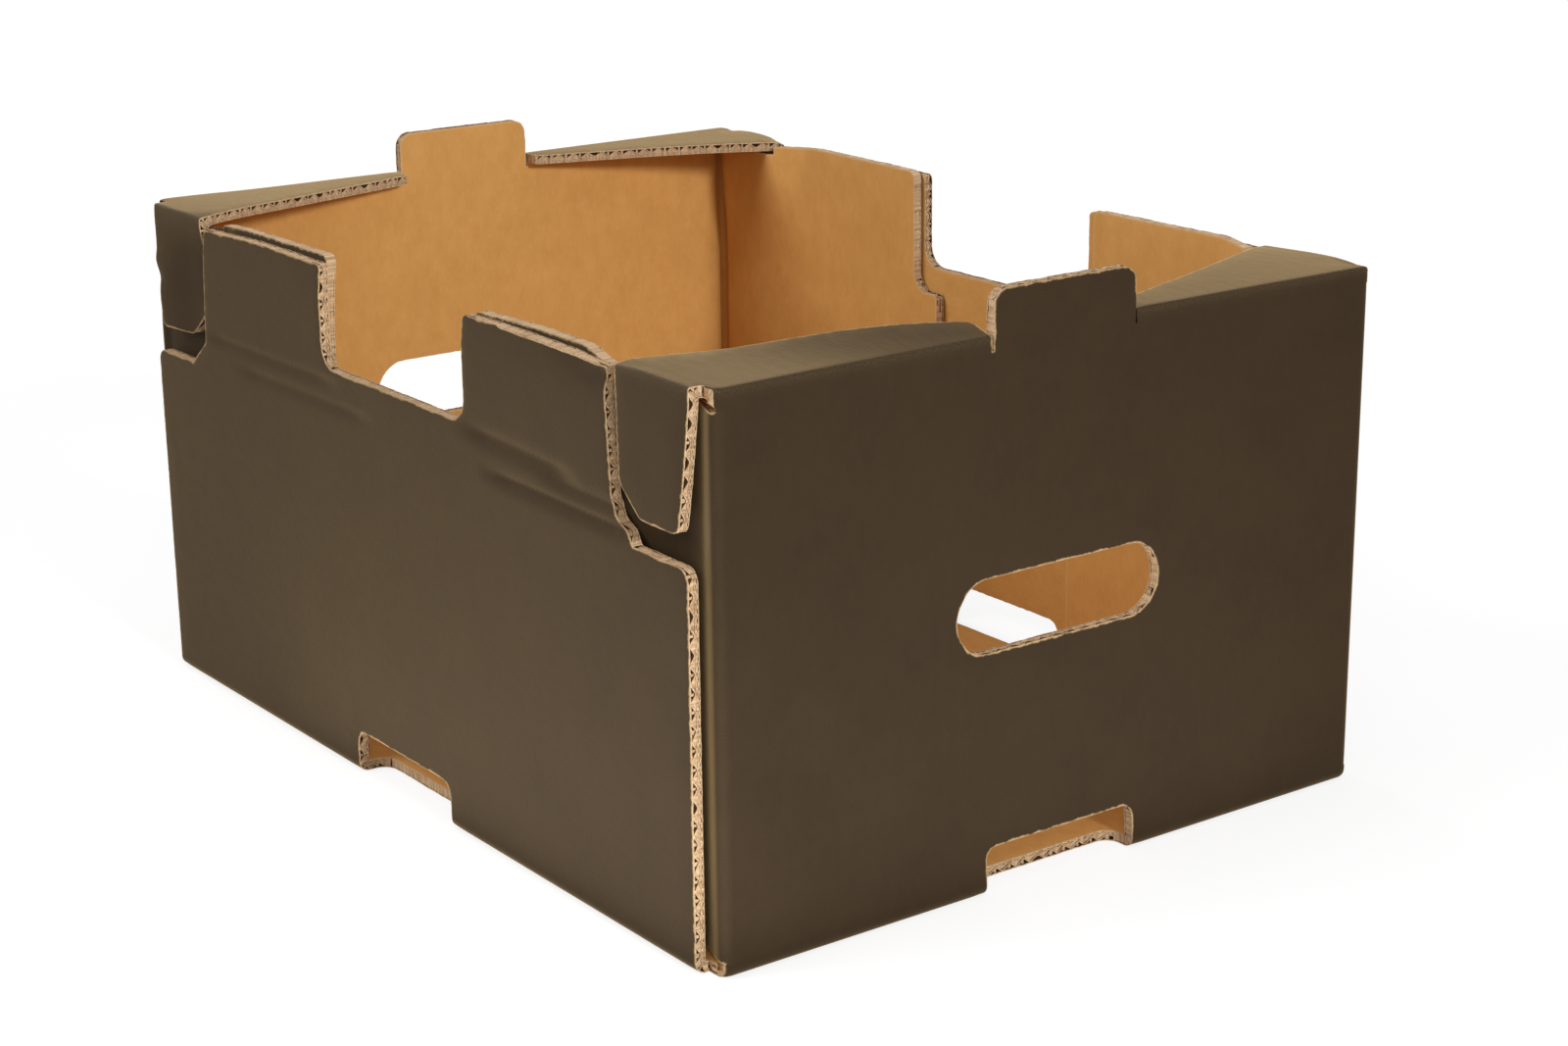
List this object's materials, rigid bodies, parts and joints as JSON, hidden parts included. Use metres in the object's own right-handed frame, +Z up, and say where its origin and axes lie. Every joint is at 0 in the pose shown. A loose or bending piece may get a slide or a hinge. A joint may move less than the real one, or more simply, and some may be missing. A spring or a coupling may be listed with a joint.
{
  "type": "cardboard tray box",
  "caption": "Open-topped stacking tray box folded from one sheet of corrugated board, with hand holes, corner shelves, stacking tabs and foot notches.",
  "frame": {"origin": "middle of the floor's underside", "axes": "+X across the width towards a cut-down side, +Y along the length towards an end with a hand hole, +Z up"},
  "size_m": [0.297, 0.4, 0.2117],
  "materials": {
    "board": "matte dark brown print outside, bare kraft inside and on cut edges"
  },
  "bodies": {
    "root": {"tray": "board"}
  },
  "joints": []
}
